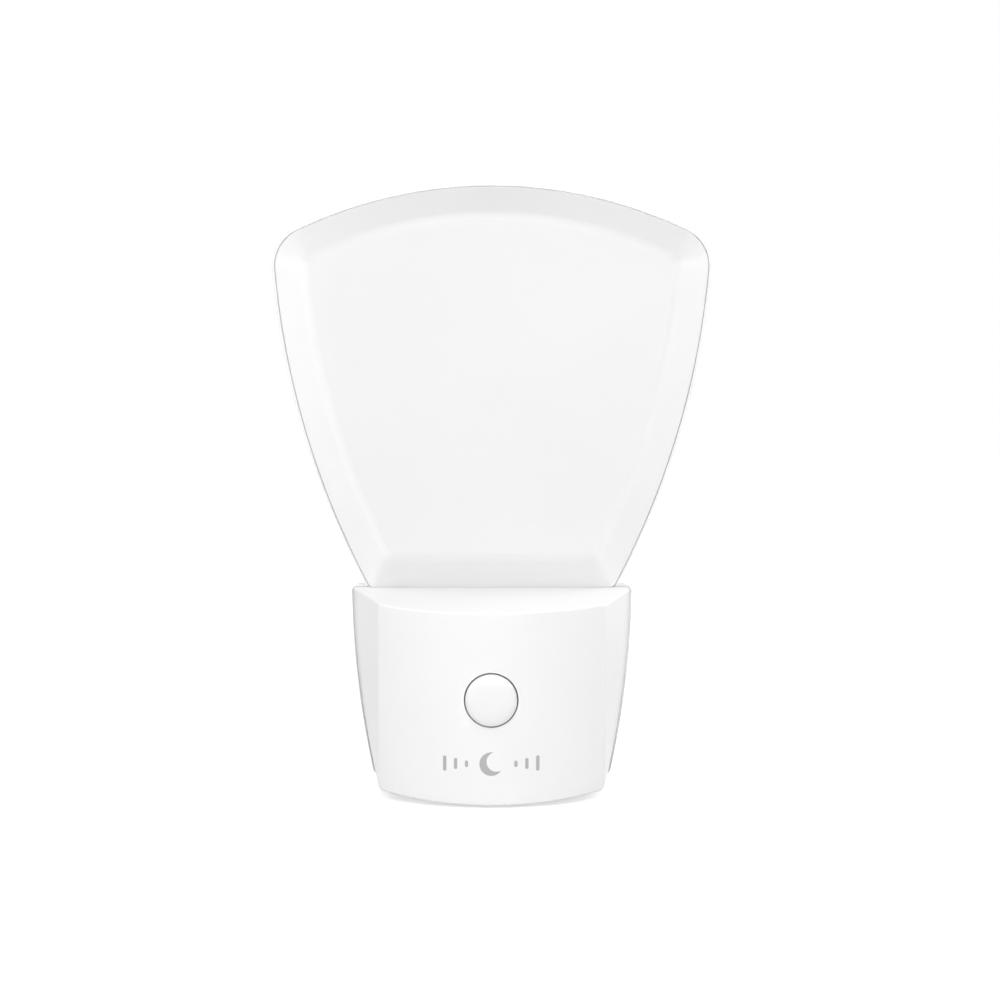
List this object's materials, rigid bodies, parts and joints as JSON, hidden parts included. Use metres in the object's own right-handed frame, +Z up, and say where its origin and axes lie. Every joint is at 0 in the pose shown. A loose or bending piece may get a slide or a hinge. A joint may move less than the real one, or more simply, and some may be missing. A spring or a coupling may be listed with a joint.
{
  "type": "plug-in night light",
  "caption": "Plug-in night light: a fan-shaped translucent shade with a raised panel on a small bowed mains housing, with a round push button and a flat two-pin plug.",
  "frame": {"origin": "centre of the plug's engagement face, between the pins", "axes": "+Y along the pins into the socket, +Z up along the shade, +X to the right seen from the front"},
  "size_m": [0.0854, 0.0709, 0.1169],
  "materials": {
    "shade_white": "satin translucent, moulded",
    "housing_white": "smooth moulded, low gloss",
    "button_white": "smooth moulded, low gloss",
    "clear_acrylic": "polished clear",
    "reflector_film": "matt white film",
    "board_white": "white solder mask",
    "board_green": "green solder mask",
    "led_emitter": "yellow phosphor in a white body",
    "black_plastic": "matt black moulding",
    "spring_steel": "drawn wire",
    "tinned_wire": "tinned",
    "nickel_plate": "nickel plated brass",
    "sleeve_grey": "moulded insulation",
    "retainer_plastic": "moulded",
    "screw_steel": "zinc plated",
    "film_yellow": "epoxy filled case",
    "can_blue": "printed shrink sleeve, no print",
    "resistor_tan": "cement coat",
    "resistor_blue": "lacquer",
    "wire_brown": "extruded insulation",
    "wire_blue": "extruded insulation",
    "wire_red": "extruded insulation"
  },
  "bodies": {
    "root": {"rear_shell": "housing_white", "diffuser": "shade_white", "front_cover": "housing_white", "light_guide": "clear_acrylic", "reflector_sheet": "reflector_film", "led_board": "board_white", "leds": "led_emitter", "circuit_board": "board_green", "switch_body": "black_plastic", "switch_legs": "tinned_wire", "button_spring": "spring_steel", "dropper_capacitor": "film_yellow", "smoothing_capacitor": "can_blue", "bridge_rectifier": "black_plastic", "fuse_resistor": "resistor_tan", "bleed_resistor": "resistor_blue", "pin_live": "nickel_plate", "pin_neutral": "nickel_plate", "sleeve_live": "sleeve_grey", "sleeve_neutral": "sleeve_grey", "pin_retainer": "retainer_plastic", "retainer_screw": "screw_steel", "housing_screws": "screw_steel", "board_screws": "screw_steel", "lead_live": "wire_brown", "lead_neutral": "wire_blue", "led_leads": "wire_red"},
    "button": {"button_cap": "button_white", "switch_plunger": "black_plastic"}
  },
  "joints": [
    {"name": "button_press", "type": "slide", "parent": "root", "child": "button", "axis": [0, 1, 0], "range_m": [0, 0.0015], "stiffness_N_per_m": 400, "springref_m": -0.001, "deforming": ["button_spring"]}
  ]
}
